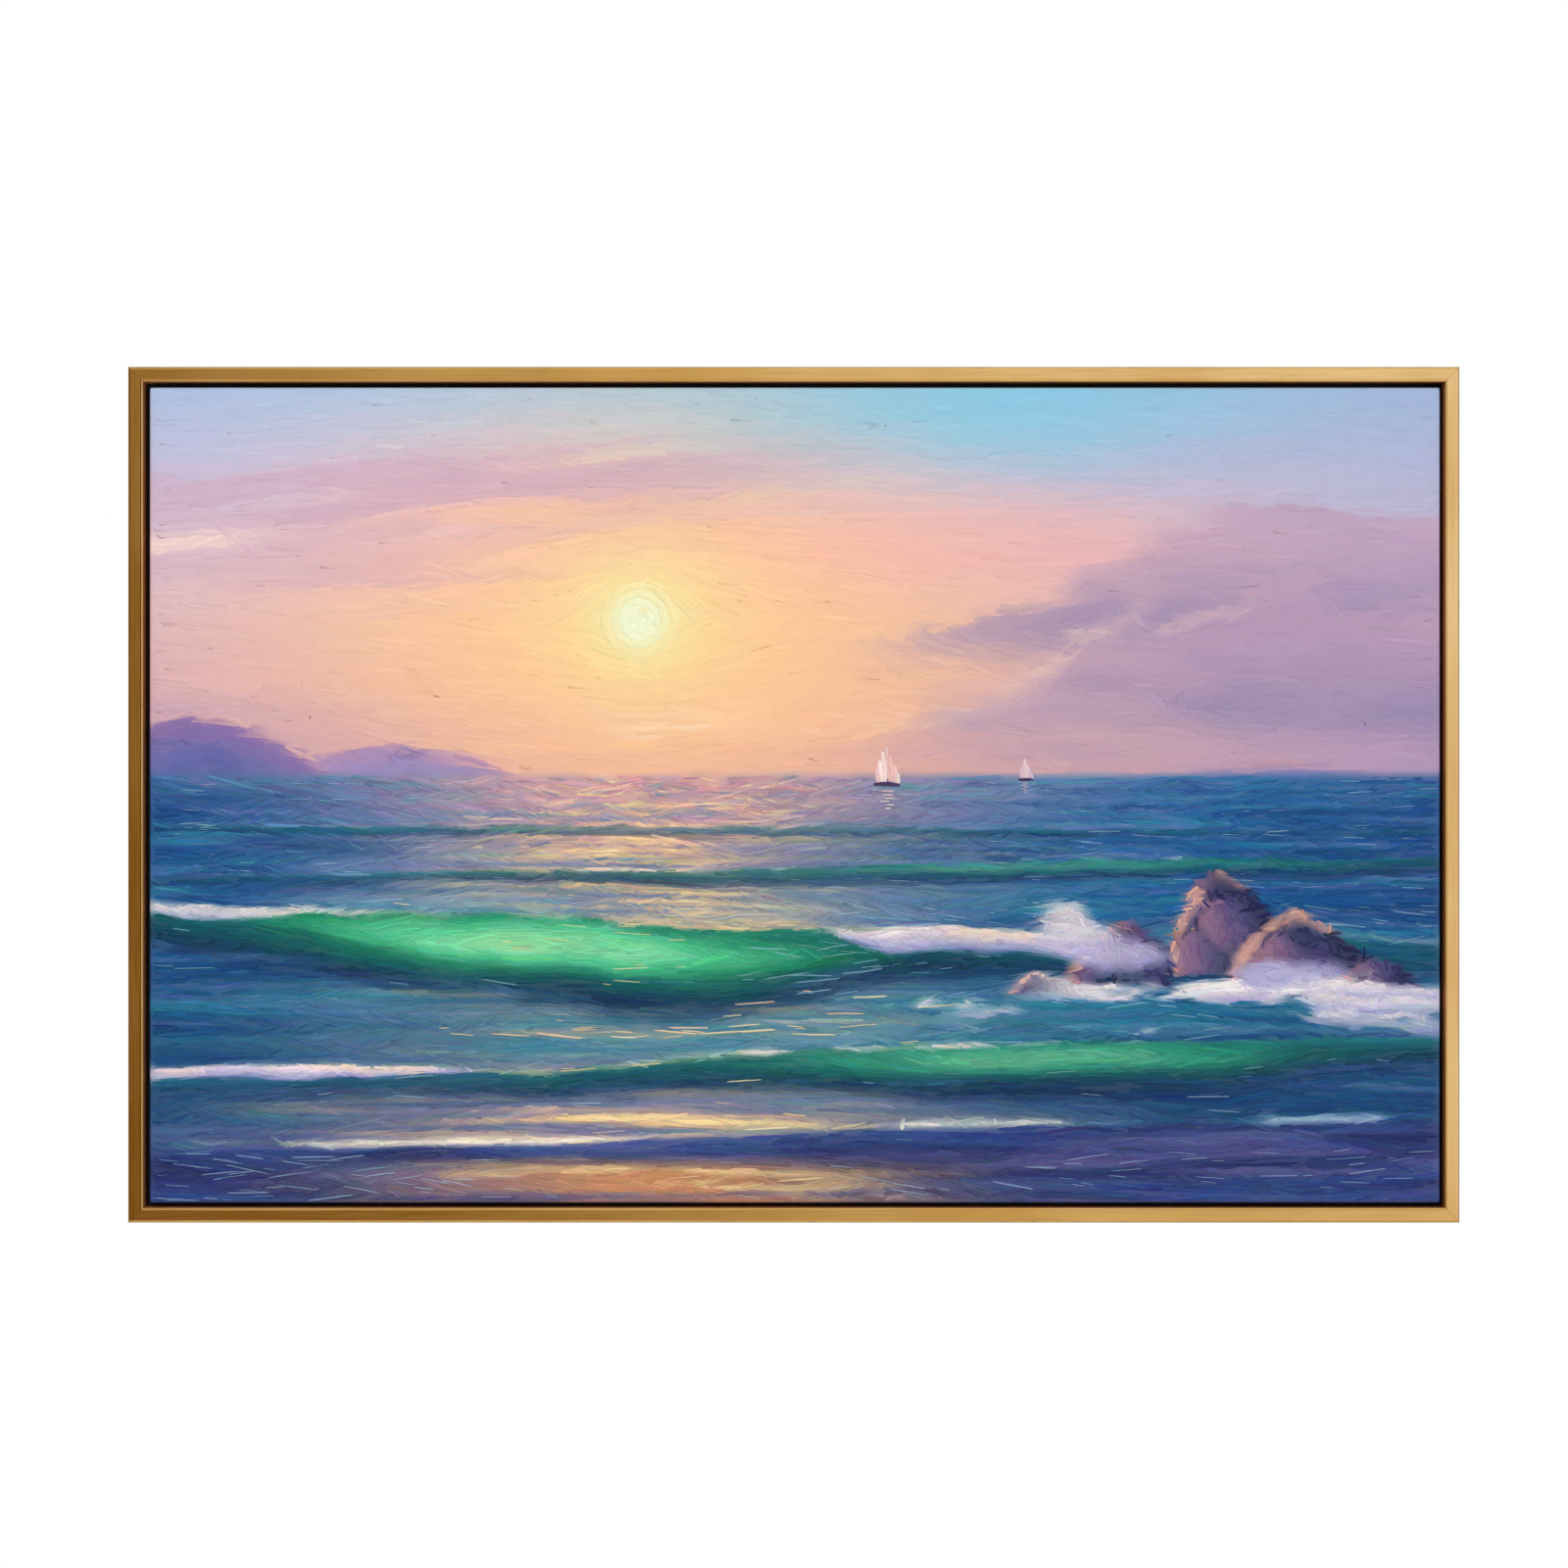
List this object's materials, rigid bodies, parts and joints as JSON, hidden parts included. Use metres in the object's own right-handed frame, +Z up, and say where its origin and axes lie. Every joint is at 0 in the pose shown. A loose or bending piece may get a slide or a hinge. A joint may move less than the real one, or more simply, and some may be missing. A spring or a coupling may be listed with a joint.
{
  "type": "framed oil painting",
  "caption": "Wide landscape-format oil painting on stretched canvas, set with a shadow gap in a slim gilt floater frame, for hanging flat on a wall.",
  "frame": {"origin": "on the wall plane, at the middle of the top rail's back face, where the hung picture bears on the wall", "axes": "+Z up, +X to the right as one looks at the picture, +Y into the wall; the picture faces -Y"},
  "size_m": [1.4, 0.0361, 0.9],
  "materials": {
    "gilt_frame": "satin",
    "painted_canvas": "satin",
    "stretcher_pine": "matte",
    "zinc_steel": "satin"
  },
  "bodies": {
    "root": {"frame_rail_top": "gilt_frame", "frame_rail_bottom": "gilt_frame", "frame_rail_left": "gilt_frame", "frame_rail_right": "gilt_frame", "canvas": "painted_canvas", "stretcher_bar_top": "stretcher_pine", "stretcher_bar_bottom": "stretcher_pine", "stretcher_bar_left": "stretcher_pine", "stretcher_bar_right": "stretcher_pine", "stretcher_brace": "stretcher_pine", "screw_top_1": "zinc_steel", "screw_top_2": "zinc_steel", "screw_top_3": "zinc_steel", "screw_top_4": "zinc_steel", "screw_bottom_1": "zinc_steel", "screw_bottom_2": "zinc_steel", "screw_bottom_3": "zinc_steel", "screw_bottom_4": "zinc_steel", "screw_left_1": "zinc_steel", "screw_left_2": "zinc_steel", "screw_right_1": "zinc_steel", "screw_right_2": "zinc_steel", "hanging_plate_left": "zinc_steel", "hanging_plate_right": "zinc_steel", "nail_left_outer": "zinc_steel", "nail_left_inner": "zinc_steel", "nail_right_outer": "zinc_steel", "nail_right_inner": "zinc_steel"}
  },
  "joints": []
}
